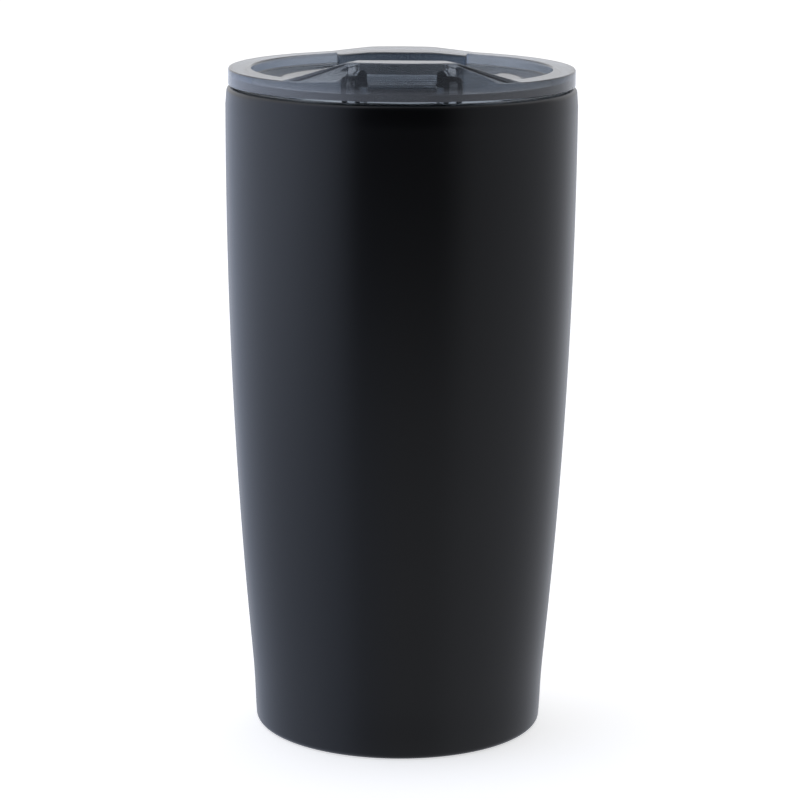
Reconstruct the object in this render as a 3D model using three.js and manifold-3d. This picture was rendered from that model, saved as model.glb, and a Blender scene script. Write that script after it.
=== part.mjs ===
// Insulated travel mug: a double-wall vacuum cup with a push-on lid and a slide closure.
// Millimetres, +Z up, front (the drinking side) towards -Y, origin at the middle of the base.
import * as THREE from "three";
import * as BufferGeometryUtils from "three/addons/utils/BufferGeometryUtils.js";
import Module from "manifold-3d";

const wasm = await Module();
wasm.setup();

// ---- Driving dimensions ----
const GAP = 0.3; // clearance between pieces that touch
const CUP_SIDES = 48;
const LID_SIDES = 64;

// Outer shell: the wall stands upright at the shoulder, tapers below it, and flares back at the foot.
const SHOULDER_HEIGHT = 157;
const SHOULDER_RADIUS = 44.11;
const TAPER = 8.15;
const TAPER_POWER = 2.07;
const FOOT_FLARE = 0.68;
const FOOT_FLARE_HEIGHT = 9.4;
const SHELL_WALL = 0.6;
const LIP_HEIGHT = 164.6;
const LIP_OUTER_RADIUS = 43.85;
const LIP_CORNER = 1.3;
const FOOT_CORNER = 1.6;
const FOOT_FLANGE_RADIUS = 33.4;

// Inner liner, vacuum gap and closing discs
const WALL_STACK = 4.7; // outer surface of the shell to inner surface of the liner
const LINER_WALL = 0.5;
const LINER_FLOOR = 12;
const LINER_WELD_HEIGHT = 19;
const LINER_FLOOR_CORNER = 5;
const FOIL_WALL = 0.2;
const FOIL_BOTTOM = 24;
const FOIL_TOP = 150;
const DISC_WALL = 0.8;
const DISC_HEIGHT = 4.0;
const COVER_RADIUS = 31.9;
const COVER_WALL = 0.6;
const COVER_HEIGHT = 1.9;
const DIMPLE_RADIUS = 5;
const DIMPLE_RISE = 1.6;
const EVACUATION_HOLE = 1;
const GETTER_RADIUS = 4;
const GETTER_THICKNESS = 1.6;
const GETTER_OFFSET = 17;

// Lid
const LID_BOTTOM = LIP_HEIGHT + GAP;
const LID_RADIUS = 43.37;
const RING_TOP = 169.1;
const WELL_RADIUS = 37.6;
const WELL_FLOOR = 166.4;
const FLOOR_THICKNESS = 1.8;
const HUMP_RISE = 5.5;
const HUMP_HALF_WIDTH = 13.3;
const HUMP_FOOT_HALF_WIDTH = 29;
const HUMP_BACK = -36;
const PAD_RISE = 1.0;
const PAD_HALF_WIDTH = 16.6;
const PAD_CROWN_HALF_WIDTH = 19;
const PAD_FRONT = 27;
const SKIRT_RADIUS = 38.6;
const SKIRT_WALL = 2.0;
const SKIRT_BOTTOM = 152.6;
const GROOVE_BOTTOM = 156.4;
const GROOVE_TOP = 160.6;
const GROOVE_DEPTH = 1.3;

// Slide, its track and the openings under it
const SIP_HALF_WIDTH = 6.4;
const SIP_FRONT = -34.4;
const SIP_BACK = -26.4;
const VENT_RADIUS = 1.3;
const VENT_Y = 8.5;
const TRACK_HALF_WIDTH = 13.8;
const TRACK_SLOT_HALF_WIDTH = 9.5;
const TRACK_LIP_HALF_WIDTH = 7.8;
const TRACK_ROUND_CENTRE = 12.5;
const TRACK_FRONT_TOP = 171.0;
const TRACK_REAR_TOP = 168.5;
const TRACK_SLOPE_END = -6;
const TRACK_LIP_OUTER_HALF_WIDTH = 10;
const TRACK_LIP_RISE = 1.0;
const TRACK_WALL = 1.2;
const TONGUE_THICKNESS = 1.5;
const TONGUE_HALF_WIDTH = 9.2;
const SLIDE_HALF_WIDTH = 7.4;
const SLIDE_FRONT = -35.4;
const SLIDE_BACK = -9.4;
const SLIDE_PLATE_TOP = 169.0;
const RIB_COUNT = 4;
const RIB_PITCH = 3.9;
const RIB_WIDTH = 1.4;
const RIB_RISE = 0.5;
const GRIP_FRONT = -15.4;
const GRIP_TOP = 171.2;
const SEAL_HALF_WIDTH = 6.9;
const SEAL_FRONT = -34.9;
const SEAL_BACK = -25.4;
const SEAL_THICKNESS = 1.0;

// ---- Materials ----
function finish(color, roughness, metalness) {
  return new THREE.MeshStandardMaterial({ color, roughness, metalness });
}

const blackPaint = finish(0x17171a, 0.35, 0.1);
const brushedSteel = finish(0xb4b6b8, 0.3, 1);
const foil = finish(0xd6d8da, 0.25, 1);
const smokePlastic = finish(0x5f6c78, 0.1, 0);
const silicone = finish(0xb9c0c6, 0.6, 0);
const solderGlass = finish(0x3a3d40, 0.2, 0);
const getterMetal = finish(0x6a6c70, 0.7, 0.8);

// ---- Shape helpers ----

// Radius of the cup's outside at a height
function cupRadius(z) {
  const below = Math.max(0, (SHOULDER_HEIGHT - z) / SHOULDER_HEIGHT);
  const flare = FOOT_FLARE * Math.exp(-((z / FOOT_FLARE_HEIGHT) ** 2));
  return SHOULDER_RADIUS - TAPER * below ** TAPER_POWER + flare;
}

// Points [radius, height] on a round corner, from one angle to another in degrees
function corner(radius, height, size, from, to, steps = 3) {
  return Array.from({ length: steps + 1 }, (_, i) => {
    const angle = THREE.MathUtils.degToRad(from + ((to - from) * i) / steps);
    return [radius + size * Math.cos(angle), height + size * Math.sin(angle)];
  });
}

// Points on a wall that follows the cup's outside at a distance inside it
function wall(inset, from, to, steps) {
  return Array.from({ length: steps + 1 }, (_, i) => {
    const z = from + ((to - from) * i) / steps;
    return [cupRadius(z) - inset, z];
  });
}

// A solid of revolution about Z, from an outline that runs up its outside
function turned(outline, sides) {
  const points = outline.map(([r, z]) => new THREE.Vector2(r, z));
  const closed = outline[0][0] > 0 || outline.at(-1)[0] > 0;
  if (closed) {
    points.push(points[0].clone());
  }
  return new THREE.LatheGeometry(points, sides).rotateX(Math.PI / 2);
}

// A plain disc
function disc(radius, bottom, top, sides = LID_SIDES) {
  return turned([[0, bottom], [radius, bottom], [radius, top], [0, top]], sides);
}

// A box between two corners
function block(x0, x1, y0, y1, z0, z1) {
  const box = new THREE.BoxGeometry(x1 - x0, y1 - y0, z1 - z0);
  return box.translate((x0 + x1) / 2, (y0 + y1) / 2, (z0 + z1) / 2);
}

function outlineShape(points) {
  return new THREE.Shape(points.map(([a, b]) => new THREE.Vector2(a, b)));
}

// An outline in X and Z, carried along Y
function alongY(points, y0, y1) {
  const settings = { depth: y1 - y0, bevelEnabled: false };
  const solid = new THREE.ExtrudeGeometry(outlineShape(points), settings);
  return solid.rotateX(Math.PI / 2).translate(0, y1, 0);
}

// An outline in Y and Z, carried along X
function alongX(points, x0, x1) {
  const settings = { depth: x1 - x0, bevelEnabled: false };
  const solid = new THREE.ExtrudeGeometry(outlineShape(points), settings);
  const turn = new THREE.Matrix4().set(0, 0, 1, x0, 1, 0, 0, 0, 0, 1, 0, 0, 0, 0, 0, 1);
  return solid.applyMatrix4(turn);
}

// An outline in X and Y with round corners, carried up Z
function roundedPlate(halfWidth, y0, y1, radius, z0, z1) {
  const shape = new THREE.Shape();
  shape.moveTo(halfWidth - radius, y0);
  shape.absarc(halfWidth - radius, y0 + radius, radius, -Math.PI / 2, 0);
  shape.absarc(halfWidth - radius, y1 - radius, radius, 0, Math.PI / 2);
  shape.absarc(-halfWidth + radius, y1 - radius, radius, Math.PI / 2, Math.PI);
  shape.absarc(-halfWidth + radius, y0 + radius, radius, Math.PI, 1.5 * Math.PI);
  const settings = { depth: z1 - z0, bevelEnabled: false, curveSegments: 3 };
  return new THREE.ExtrudeGeometry(shape, settings).translate(0, 0, z0);
}

function toSolid(geometry) {
  const bare = geometry.clone();
  bare.deleteAttribute("normal");
  bare.deleteAttribute("uv");
  const merged = BufferGeometryUtils.mergeVertices(bare, 1e-4);
  const vertProperties = new Float32Array(merged.attributes.position.array);
  const triVerts = new Uint32Array(merged.index.array);
  return new wasm.Manifold(new wasm.Mesh({ numProp: 3, vertProperties, triVerts }));
}

function toGeometry(solid) {
  const mesh = solid.getMesh();
  const geometry = new THREE.BufferGeometry();
  geometry.setAttribute("position", new THREE.BufferAttribute(mesh.vertProperties, 3));
  geometry.setIndex(new THREE.BufferAttribute(mesh.triVerts, 1));
  geometry.computeVertexNormals();
  return geometry;
}

function joined(...geometries) {
  return geometries.map(toSolid).reduce((whole, piece) => whole.add(piece));
}

// ---- The cup ----
function outerShell() {
  const foot = corner(cupRadius(FOOT_CORNER) - FOOT_CORNER, FOOT_CORNER, FOOT_CORNER, -90, 0);
  const lip = corner(LIP_OUTER_RADIUS - LIP_CORNER, LIP_HEIGHT - LIP_CORNER, LIP_CORNER, 0, 90);
  const flangeEnd = cupRadius(0) - FOOT_CORNER;
  return turned([
    ...foot,
    ...wall(0, 6, 160, 9),
    ...lip,
    [cupRadius(160) - 2.4, LIP_HEIGHT],
    [cupRadius(160) - 2.4, LIP_HEIGHT - SHELL_WALL],
    [LIP_OUTER_RADIUS - LIP_CORNER, LIP_HEIGHT - SHELL_WALL],
    ...wall(SHELL_WALL, 160, 6, 7),
    [cupRadius(FOOT_CORNER) - SHELL_WALL, FOOT_CORNER],
    [flangeEnd, SHELL_WALL],
    [FOOT_FLANGE_RADIUS, SHELL_WALL],
    [FOOT_FLANGE_RADIUS, 0],
  ], CUP_SIDES);
}

function innerLiner() {
  const mouth = cupRadius(160) - WALL_STACK;
  const flare = corner(mouth + 1.4, LIP_HEIGHT - 1.4, 1.4, 180, 90, 2);
  const weld = cupRadius(160) - 2.4 - GAP;
  const outside = WALL_STACK - LINER_WALL;
  return turned([
    ...wall(outside, LINER_WELD_HEIGHT, 160, 7),
    [mouth + 1.9, LIP_HEIGHT - 0.9],
    [weld, LIP_HEIGHT - SHELL_WALL],
    [weld, LIP_HEIGHT],
    ...flare.reverse(),
    ...wall(WALL_STACK, 160, LINER_WELD_HEIGHT, 7),
  ], CUP_SIDES);
}

function linerBottom() {
  const top = LINER_WELD_HEIGHT - GAP;
  const inside = cupRadius(top) - WALL_STACK;
  const outside = inside + LINER_WALL;
  const centreHeight = LINER_FLOOR + LINER_FLOOR_CORNER;
  const round = inside - LINER_FLOOR_CORNER;
  return turned([
    [0, LINER_FLOOR - LINER_WALL],
    ...corner(round, centreHeight, LINER_FLOOR_CORNER + LINER_WALL, -90, 0),
    [outside, top],
    [inside, top],
    ...corner(round, centreHeight, LINER_FLOOR_CORNER, 0, -90),
    [0, LINER_FLOOR],
  ], CUP_SIDES);
}

function linerFoil() {
  const inset = WALL_STACK - LINER_WALL - GAP;
  return turned([
    ...wall(inset - FOIL_WALL, FOIL_BOTTOM, FOIL_TOP, 4),
    ...wall(inset, FOIL_TOP, FOIL_BOTTOM, 4),
  ], CUP_SIDES);
}

function vacuumDisc() {
  const rim = FOOT_FLANGE_RADIUS - GAP;
  const top = DISC_HEIGHT;
  return turned([
    [EVACUATION_HOLE, top - DISC_WALL + DIMPLE_RISE],
    [DIMPLE_RADIUS - 2, top - DISC_WALL + DIMPLE_RISE],
    [DIMPLE_RADIUS, top - DISC_WALL],
    [rim - DISC_WALL, top - DISC_WALL],
    [rim - DISC_WALL, GAP],
    [rim, GAP],
    [rim, top],
    [DIMPLE_RADIUS + 0.6, top],
    [DIMPLE_RADIUS - 1.4, top + DIMPLE_RISE],
    [EVACUATION_HOLE, top + DIMPLE_RISE],
  ], CUP_SIDES);
}

function baseCover() {
  const bottom = COVER_HEIGHT - COVER_WALL;
  return turned([
    [0, bottom],
    [COVER_RADIUS - 3, bottom],
    [COVER_RADIUS - 2.2, bottom - 0.5],
    [COVER_RADIUS, bottom - 0.5],
    [COVER_RADIUS, bottom - 0.5 + COVER_WALL],
    [COVER_RADIUS - 2.2, bottom - 0.5 + COVER_WALL],
    [COVER_RADIUS - 3, COVER_HEIGHT],
    [0, COVER_HEIGHT],
  ], CUP_SIDES);
}

function evacuationPlug() {
  const top = DISC_HEIGHT - DISC_WALL + DIMPLE_RISE - GAP;
  return turned([
    [0, top - 1.2],
    [1.6, top - 1.1],
    [2.5, top - 0.4],
    [2.3, top],
    [0, top],
  ], 16);
}

function getter() {
  const bottom = DISC_HEIGHT + GAP;
  return disc(GETTER_RADIUS, bottom, bottom + GETTER_THICKNESS, 20).translate(0, GETTER_OFFSET, 0);
}

function getterClip() {
  const bottom = DISC_HEIGHT + GAP;
  const over = bottom + GETTER_THICKNESS + GAP;
  const foot = GETTER_RADIUS + 3;
  const inner = GETTER_RADIUS + GAP;
  const strap = [
    [-foot, bottom], [-inner, bottom], [-inner, over], [inner, over], [inner, bottom], [foot, bottom],
    [foot, bottom + 0.4], [inner + 0.4, bottom + 0.4], [inner + 0.4, over + 0.4],
    [-inner - 0.4, over + 0.4], [-inner - 0.4, bottom + 0.4], [-foot, bottom + 0.4],
  ];
  return alongY(strap, GETTER_OFFSET - 1.5, GETTER_OFFSET + 1.5);
}

// ---- The lid ----

// Everything below the lid's top surface: a flat ring with a hump in front and a pad behind
function underTopSurface() {
  const side = LID_RADIUS + 2;
  const floor = SKIRT_BOTTOM - 5;
  const hump = alongY([
    [-side, floor], [side, floor], [side, RING_TOP],
    [HUMP_FOOT_HALF_WIDTH, RING_TOP], [HUMP_HALF_WIDTH, RING_TOP + HUMP_RISE],
    [-HUMP_HALF_WIDTH, RING_TOP + HUMP_RISE], [-HUMP_FOOT_HALF_WIDTH, RING_TOP],
    [-side, RING_TOP],
  ], -side, 0.01);
  const crownSteps = 8;
  const crown = Array.from({ length: crownSteps + 1 }, (_, i) => {
    const x = PAD_CROWN_HALF_WIDTH * (1 - (2 * i) / crownSteps);
    return [x, RING_TOP + PAD_RISE * Math.cos((Math.PI * x) / (2 * PAD_CROWN_HALF_WIDTH)) ** 2];
  });
  const pad = alongY([[-side, floor], [side, floor], [side, RING_TOP], ...crown, [-side, RING_TOP]], 0, side);
  return joined(hump, pad);
}

function lidBody() {
  const tall = RING_TOP + HUMP_RISE;
  const rim = toSolid(disc(LID_RADIUS, LID_BOTTOM, tall + 1)).subtract(
    toSolid(disc(WELL_RADIUS, LID_BOTTOM - 1, tall + 2))
      .intersect(toSolid(block(-50, 50, HUMP_BACK, 50, LID_BOTTOM - 1, tall + 2))),
  );
  const pad = toSolid(disc(WELL_RADIUS + 0.5, LID_BOTTOM, tall))
    .intersect(toSolid(block(-PAD_HALF_WIDTH, PAD_HALF_WIDTH, PAD_FRONT, 50, LID_BOTTOM, tall)));
  const upper = rim.add(pad).intersect(underTopSurface());
  const floor = disc(WELL_RADIUS + 1, WELL_FLOOR - FLOOR_THICKNESS, WELL_FLOOR);
  const skirt = turned([
    [SKIRT_RADIUS - SKIRT_WALL, SKIRT_BOTTOM],
    [SKIRT_RADIUS - 0.6, SKIRT_BOTTOM],
    [SKIRT_RADIUS, SKIRT_BOTTOM + 1.2],
    [SKIRT_RADIUS, GROOVE_BOTTOM],
    [SKIRT_RADIUS - GROOVE_DEPTH, GROOVE_BOTTOM],
    [SKIRT_RADIUS - GROOVE_DEPTH, GROOVE_TOP],
    [SKIRT_RADIUS, GROOVE_TOP],
    [SKIRT_RADIUS, LID_BOTTOM + 0.5],
    [SKIRT_RADIUS - SKIRT_WALL, LID_BOTTOM + 0.5],
  ], LID_SIDES);
  const sipHole = roundedPlate(SIP_HALF_WIDTH, SIP_FRONT, SIP_BACK, 1.5, SKIRT_BOTTOM, WELL_FLOOR + 1);
  const vent = disc(VENT_RADIUS, SKIRT_BOTTOM, WELL_FLOOR + 1, 12).translate(0, VENT_Y, 0);
  const solid = upper.add(toSolid(skirt))
    .add(toSolid(floor))
    .subtract(toSolid(sipHole))
    .subtract(toSolid(vent));
  return toGeometry(solid);
}

function lidGasket() {
  const inner = SKIRT_RADIUS - GROOVE_DEPTH + GAP;
  const bottom = GROOVE_BOTTOM + GAP;
  const top = GROOVE_TOP - GAP;
  const body = SKIRT_RADIUS - 0.2;
  const fin = cupRadius(160) - WALL_STACK - GAP;
  return turned([
    [inner, bottom], [body, bottom], [body, bottom + 0.5], [fin, bottom + 0.9], [fin, bottom + 1.3],
    [body, bottom + 1.5], [body, top - 1.3], [fin, top - 0.9], [fin, top - 0.5], [body, top - 0.2],
    [body, top], [inner, top],
  ], LID_SIDES);
}

// ---- The slide and its track ----
// A plate with straight sides and a half-round back
function roundBacked(halfWidth, front, z0, z1) {
  const shape = new THREE.Shape();
  shape.moveTo(-halfWidth, front);
  shape.lineTo(halfWidth, front);
  shape.absarc(0, TRACK_ROUND_CENTRE, halfWidth, 0, Math.PI);
  const settings = { depth: z1 - z0, bevelEnabled: false, curveSegments: 16 };
  return new THREE.ExtrudeGeometry(shape, settings).translate(0, 0, z0);
}

// The space under a track surface that slopes down towards the back
function underTrackTop(rise) {
  const side = TRACK_HALF_WIDTH + 1;
  return alongX([
    [HUMP_BACK - 3, WELL_FLOOR - 2], [PAD_FRONT, WELL_FLOOR - 2], [PAD_FRONT, TRACK_REAR_TOP + rise],
    [TRACK_SLOPE_END, TRACK_REAR_TOP + rise], [HUMP_BACK + GAP, TRACK_FRONT_TOP + rise],
    [HUMP_BACK - 3, TRACK_FRONT_TOP + rise],
  ], -side, side);
}

// A U-shaped guide with hooked lips over the slide's tongues, hollow from below
function slideTrack() {
  const bottom = WELL_FLOOR + GAP;
  const front = HUMP_BACK + GAP;
  const top = TRACK_FRONT_TOP + 3;
  const tongueTop = bottom + TONGUE_THICKNESS + GAP;
  const insideWell = disc(WELL_RADIUS - GAP, bottom - 1, top);
  const shoulders = toSolid(roundBacked(TRACK_HALF_WIDTH, front, bottom, top))
    .intersect(toSolid(underTrackTop(0)));
  const lips = toSolid(roundBacked(TRACK_LIP_OUTER_HALF_WIDTH, front, bottom, top))
    .intersect(toSolid(underTrackTop(TRACK_LIP_RISE)));
  const hollow = toSolid(roundBacked(TRACK_HALF_WIDTH - TRACK_WALL, front - 1, bottom - 1, top))
    .subtract(toSolid(roundBacked(TRACK_SLOT_HALF_WIDTH + TRACK_WALL, front - 2, bottom - 2, top + 1)))
    .intersect(toSolid(underTrackTop(-TRACK_WALL)));
  const solid = shoulders.add(lips)
    .intersect(toSolid(insideWell))
    .subtract(toSolid(roundBacked(TRACK_LIP_HALF_WIDTH, front - 1, bottom - 1, top + 1)))
    .subtract(toSolid(roundBacked(TRACK_SLOT_HALF_WIDTH, front - 1, bottom - 1, tongueTop)))
    .subtract(hollow);
  return toGeometry(solid);
}

function slidePlate() {
  const bottom = WELL_FLOOR + GAP;
  const tongue = block(
    -TONGUE_HALF_WIDTH, TONGUE_HALF_WIDTH, SLIDE_FRONT, SLIDE_BACK, bottom, bottom + TONGUE_THICKNESS,
  );
  const profile = [[SLIDE_FRONT, bottom], [SLIDE_BACK, bottom], [SLIDE_BACK, GRIP_TOP],
    [GRIP_FRONT + 2.4, GRIP_TOP], [GRIP_FRONT, SLIDE_PLATE_TOP]];
  for (let i = 0; i < RIB_COUNT; i += 1) {
    const y = GRIP_FRONT - RIB_PITCH * (i + 0.5);
    profile.push([y, SLIDE_PLATE_TOP], [y - 0.4, SLIDE_PLATE_TOP + RIB_RISE],
      [y - RIB_WIDTH + 0.4, SLIDE_PLATE_TOP + RIB_RISE], [y - RIB_WIDTH, SLIDE_PLATE_TOP]);
  }
  profile.push([SLIDE_FRONT + 0.6, SLIDE_PLATE_TOP], [SLIDE_FRONT, SLIDE_PLATE_TOP - 0.6]);
  const centre = alongX(profile, -SLIDE_HALF_WIDTH, SLIDE_HALF_WIDTH);
  const pocket = roundedPlate(
    SEAL_HALF_WIDTH + GAP, SLIDE_FRONT - 2, SEAL_BACK + GAP, 1, bottom - 1, bottom + SEAL_THICKNESS + GAP,
  );
  const keptFront = block(-10, 10, SLIDE_FRONT - 3, SEAL_FRONT - GAP, bottom - 2, bottom + 3);
  return toGeometry(joined(tongue, centre).subtract(toSolid(pocket).subtract(toSolid(keptFront))));
}

function slideSeal() {
  const bottom = WELL_FLOOR + GAP;
  return roundedPlate(SEAL_HALF_WIDTH, SEAL_FRONT, SEAL_BACK, 0.8, bottom, bottom + SEAL_THICKNESS);
}

// ---- The assembly ----
function piece(name, geometry, material) {
  const mesh = new THREE.Mesh(geometry, material);
  mesh.name = name;
  return mesh;
}

const cup = new THREE.Group();
cup.add(
  piece("outer_shell", outerShell(), blackPaint),
  piece("inner_liner", innerLiner(), brushedSteel),
  piece("liner_bottom", linerBottom(), brushedSteel),
  piece("liner_foil", linerFoil(), foil),
  piece("vacuum_disc", vacuumDisc(), brushedSteel),
  piece("evacuation_plug", evacuationPlug(), solderGlass),
  piece("getter", getter(), getterMetal),
  piece("getter_clip", getterClip(), brushedSteel),
  piece("base_cover", baseCover(), brushedSteel),
);

const lid = new THREE.Group();
lid.add(
  piece("lid_body", lidBody(), smokePlastic),
  piece("lid_gasket", lidGasket(), silicone),
  piece("slide_track", slideTrack(), smokePlastic),
);

const slide = new THREE.Group();
slide.add(
  piece("slide_plate", slidePlate(), smokePlastic),
  piece("slide_seal", slideSeal(), silicone),
);

const mug = new THREE.Group();
mug.add(cup, lid, slide);

export default mug;
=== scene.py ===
"""Insulated travel mug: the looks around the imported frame. Metres, +Z up, drinking side towards -Y."""

import math

import bmesh
import bpy
import numpy as np
from bpy.props import FloatProperty, FloatVectorProperty, PointerProperty
from mathutils import Matrix


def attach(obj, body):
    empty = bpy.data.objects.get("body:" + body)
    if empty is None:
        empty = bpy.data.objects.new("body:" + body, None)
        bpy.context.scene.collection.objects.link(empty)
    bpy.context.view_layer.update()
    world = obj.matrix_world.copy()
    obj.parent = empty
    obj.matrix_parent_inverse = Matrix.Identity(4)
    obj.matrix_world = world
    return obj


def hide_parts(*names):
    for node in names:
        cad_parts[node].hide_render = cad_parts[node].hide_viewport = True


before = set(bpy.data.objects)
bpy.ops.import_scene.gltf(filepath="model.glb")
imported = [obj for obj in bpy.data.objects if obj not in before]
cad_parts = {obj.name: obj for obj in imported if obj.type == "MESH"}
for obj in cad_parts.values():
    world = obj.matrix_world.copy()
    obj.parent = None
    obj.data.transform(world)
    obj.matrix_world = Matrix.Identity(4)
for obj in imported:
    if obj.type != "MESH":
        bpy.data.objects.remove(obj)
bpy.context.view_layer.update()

bl_info = {
    "name": "Insulated Travel Mug",
    "version": (1, 0, 0),
    "blender": (4, 5, 0),
    "location": "View3D > Sidebar > Mug",
    "description": "Builds a vacuum travel mug with a smoke-grey slide lid around its frame",
    "category": "Object",
}

MM = 0.001
SHARP_ANGLE = math.radians(40)
# the slide, its guide and its seal stand a small gap above the well's floor
SLIDE_FLOOR = 166.7 * MM


# ---------------------------------------------------------------- colours and sizes

def linear(hex_colour):
    """A colour as Blender's shaders take it, from sRGB hex digits."""
    value = int(hex_colour.lstrip("#"), 16)
    parts = np.array([value >> 16, value >> 8 & 255, value & 255]) / 255
    parts = np.where(parts <= 0.04045, parts / 12.92, ((parts + 0.055) / 1.055) ** 2.4)
    return (*(float(p) for p in parts), 1.0)


def length(name, description, default):
    """A size that a user may change, in metres."""
    return FloatProperty(
        name=name, description=description, default=default, min=0.0, unit="LENGTH",
    )


def colour(name, description, hex_colour):
    """A colour that a user may change."""
    return FloatVectorProperty(
        name=name, description=description, default=linear(hex_colour),
        subtype="COLOR", size=4, min=0.0, max=1.0,
    )


class MugSizes(bpy.types.PropertyGroup):
    """Sizes of the mug, from its frame."""

    shoulder_radius: length("Shoulder radius", "Widest radius of the cup", 44.10 * MM)
    shoulder_height: length("Shoulder height", "Height where the taper starts", 157.0 * MM)
    taper: length("Taper", "How far the radius shrinks from shoulder to foot", 8.15 * MM)
    foot_flare: length("Foot flare", "How far the foot turns back out", 0.68 * MM)
    lip_height: length("Lip height", "Top of the steel cup", 164.6 * MM)
    lid_radius: length("Lid radius", "Outer radius of the lid", 43.36 * MM)
    ring_top: length("Ring top", "Height of the lid's flat rim", 169.1 * MM)
    hump_rise: length("Lip rise", "How far the drinking lip stands above the rim", 5.49 * MM)
    well_floor: length("Well floor", "Height of the sunken floor of the lid", 166.4 * MM)


class MugColours(bpy.types.PropertyGroup):
    """Colours of the mug's finishes."""

    paint: colour("Paint", "Satin powder coat of the cup", "#0e0e0f")
    liner: colour("Liner steel", "Electropolished stainless steel", "#e3e2de")
    base: colour("Base steel", "Brushed stainless steel", "#bdbcb8")
    silicone: colour("Silicone", "Seal and gasket", "#63686d")
    floor: colour("Floor", "Studio floor", "#f4f4f4")


# ---------------------------------------------------------------- nodes and materials

def add_node(tree, kind, settings=None, links=None):
    """Adds one node. settings sets its properties and its sockets' values; links maps an input to the
    socket that feeds it."""
    node = tree.nodes.new(kind)
    for key, value in (settings or {}).items():
        if isinstance(key, str) and hasattr(node, key):
            setattr(node, key, value)
        else:
            node.inputs[key].default_value = value
    for key, source in (links or {}).items():
        tree.links.new(source, node.inputs[key])
    return node


def new_material(name):
    """An empty node material and its output node."""
    material = bpy.data.materials.new(name)
    material.use_nodes = True
    material.node_tree.nodes.clear()
    return material, add_node(material.node_tree, "ShaderNodeOutputMaterial")


def satin_powder_coat(paint):
    """Black polyester powder coat, sprayed and baked on steel. It gives a soft, wide sheen with a very
    fine orange peel, slightly uneven in gloss."""
    material, output = new_material("satin_black_powder_coat")
    tree = material.node_tree
    place = add_node(tree, "ShaderNodeTexCoord").outputs["Object"]
    # real peel is about 0.6 mm across, drawn at 0.9 mm so that it shows
    peel = add_node(
        tree, "ShaderNodeTexNoise", {"Scale": 1 / (0.9 * MM), "Detail": 3.0}, {"Vector": place},
    )
    cloud = add_node(
        tree, "ShaderNodeTexNoise", {"Scale": 1 / (18 * MM), "Detail": 2.0}, {"Vector": place},
    )
    gloss = add_node(
        tree, "ShaderNodeMapRange", {"To Min": 0.23, "To Max": 0.27}, {"Value": cloud.outputs["Fac"]},
    )
    bump = add_node(
        tree, "ShaderNodeBump", {"Strength": 0.05, "Distance": 0.02 * MM}, {"Height": peel.outputs["Fac"]},
    )
    shader = add_node(
        tree, "ShaderNodeBsdfPrincipled", {"Base Color": paint, "IOR": 1.5},
        {"Roughness": gloss.outputs["Result"], "Normal": bump.outputs["Normal"]},
    )
    tree.links.new(shader.outputs["BSDF"], output.inputs["Surface"])
    return material


def smoke_copolyester(name, roughness, density, clear=0.97):
    """Clear copolyester, injection moulded with a smoke-grey tint in a polished mould. Thin walls look
    light, thick ones dark and slightly blue, with bright edges. What isn't clear is a fine haze of
    handling marks."""
    material, output = new_material(name)
    tree = material.node_tree
    place = add_node(tree, "ShaderNodeTexCoord").outputs["Object"]
    # mould flow leaves a faint ripple some 6 mm long
    flow = add_node(
        tree, "ShaderNodeTexNoise", {"Scale": 1 / (6 * MM), "Detail": 1.0}, {"Vector": place},
    )
    ripple = add_node(
        tree, "ShaderNodeBump", {"Strength": 0.06, "Distance": 0.1 * MM}, {"Height": flow.outputs["Fac"]},
    )
    shader = add_node(
        tree, "ShaderNodeBsdfPrincipled",
        {
            "Base Color": (0.95, 0.97, 1.0, 1.0), "IOR": 1.54, "Roughness": roughness,
            "Transmission Weight": clear,
        },
        {"Normal": ripple.outputs["Normal"]},
    )
    tint = add_node(
        tree, "ShaderNodeVolumeAbsorption", {"Color": (0.24, 0.30, 0.36, 1.0), "Density": density},
    )
    tree.links.new(shader.outputs["BSDF"], output.inputs["Surface"])
    tree.links.new(tint.outputs["Volume"], output.inputs["Volume"])
    return material


def worn_outside(material, sizes):
    """Makes the lid's outer wall hazier, most of all along its lower edge, where hands rub it and mugs
    knock together. The outer wall is found by its radius."""
    tree = material.node_tree
    shader = next(node for node in tree.nodes if node.type == "BSDF_PRINCIPLED")
    place = add_node(tree, "ShaderNodeTexCoord").outputs["Object"]
    split = add_node(tree, "ShaderNodeSeparateXYZ", None, {"Vector": place})
    flat = add_node(
        tree, "ShaderNodeCombineXYZ", None, {"X": split.outputs["X"], "Y": split.outputs["Y"]},
    )
    radius = add_node(tree, "ShaderNodeVectorMath", {"operation": "LENGTH"}, {0: flat.outputs["Vector"]})
    outside = add_node(
        tree, "ShaderNodeMath", {"operation": "GREATER_THAN", 1: sizes.lid_radius - 0.2 * MM},
        {0: radius.outputs["Value"]},
    )
    scuffed = add_node(
        tree, "ShaderNodeMapRange",
        {
            "From Min": sizes.ring_top - 1.6 * MM, "From Max": sizes.ring_top - 0.4 * MM,
            "To Min": 0.80, "To Max": 0.93,
        },
        {"Value": split.outputs["Z"]},
    )
    clear = add_node(
        tree, "ShaderNodeMix", {"data_type": "FLOAT", 2: 0.98},
        {0: outside.outputs["Value"], 3: scuffed.outputs["Result"]},
    )
    tree.links.new(clear.outputs[0], shader.inputs["Transmission Weight"])
    return material


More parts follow.
